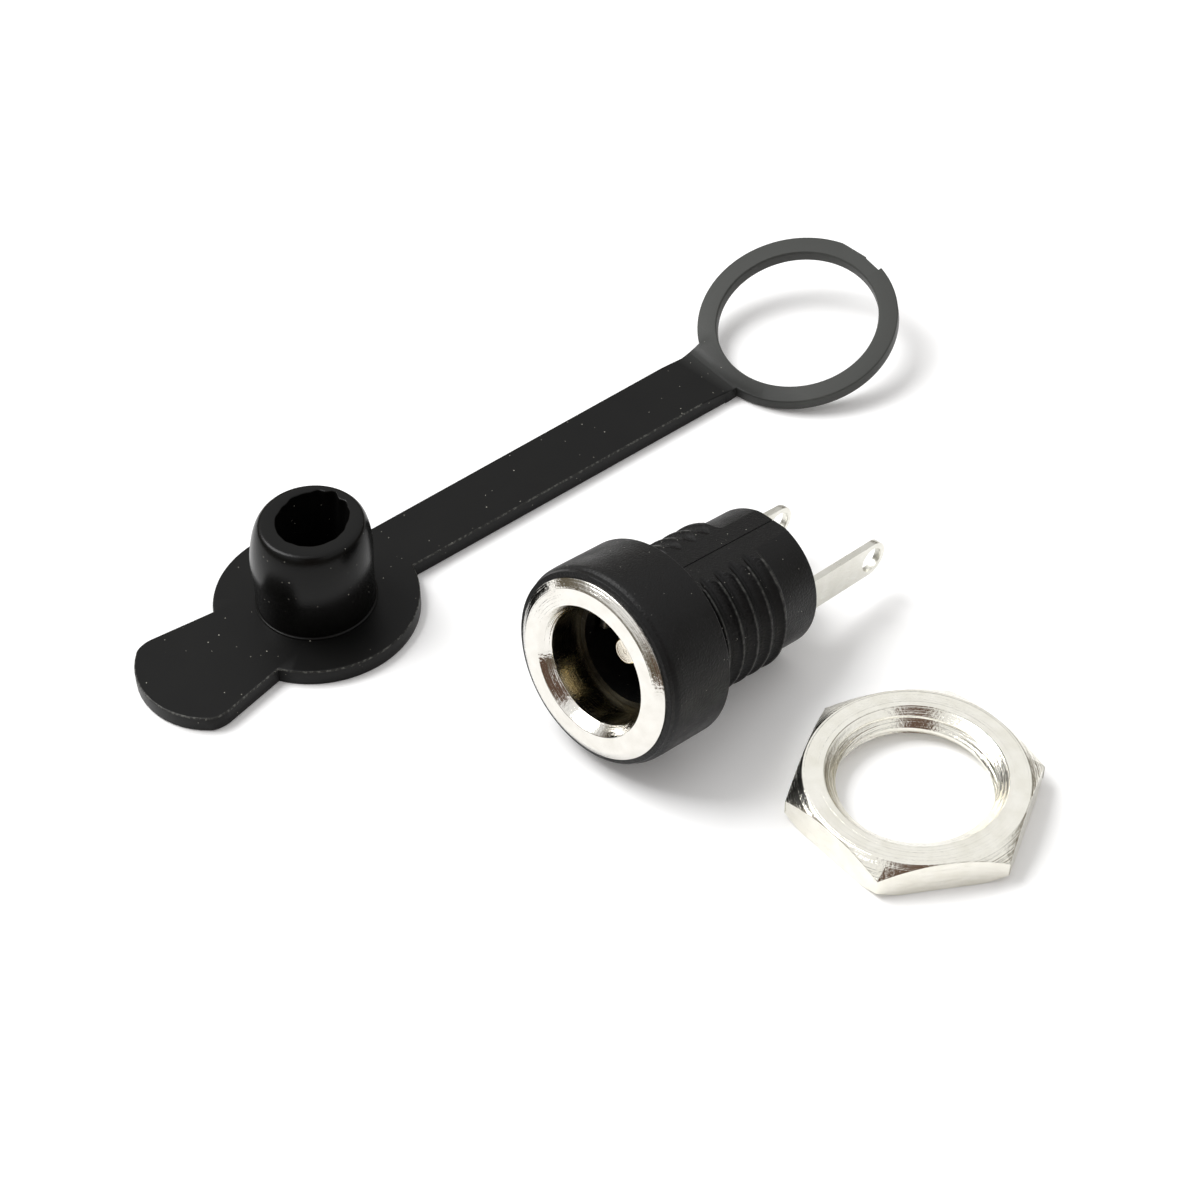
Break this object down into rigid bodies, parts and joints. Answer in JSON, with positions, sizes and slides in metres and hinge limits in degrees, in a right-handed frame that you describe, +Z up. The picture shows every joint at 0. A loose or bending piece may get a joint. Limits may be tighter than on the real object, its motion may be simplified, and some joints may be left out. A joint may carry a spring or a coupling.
{
  "type": "panel-mount dc power jack",
  "caption": "Round panel-mount DC power jack with a flanged, threaded black barrel, metal mouth, centre pin and solder lugs, with its hex nut and tethered rubber dust cap lying beside it.",
  "frame": {"origin": "middle of the footprint of the three pieces, on the table that they lie on", "axes": "+Y along the jack from its mouth to its lugs and along the cap's strap, +Z up, +X from the cap over the jack to the nut"},
  "size_m": [0.0572, 0.0656, 0.0146],
  "materials": {
    "black_plastic": "satin black moulded plastic",
    "bright_nickel": "bright nickel plate",
    "satin_nickel": "fine turned nickel plate",
    "tinned_brass": "satin tin plate",
    "black_rubber": "matte black rubber"
  },
  "bodies": {
    "root": {"housing": "black_plastic", "bezel": "bright_nickel", "centre_pin": "bright_nickel", "pin_lug": "tinned_brass", "sleeve_contact": "tinned_brass", "switch_contact": "tinned_brass", "rear_plug": "black_plastic", "nut": "satin_nickel", "dust_cap": "black_rubber"}
  },
  "joints": []
}
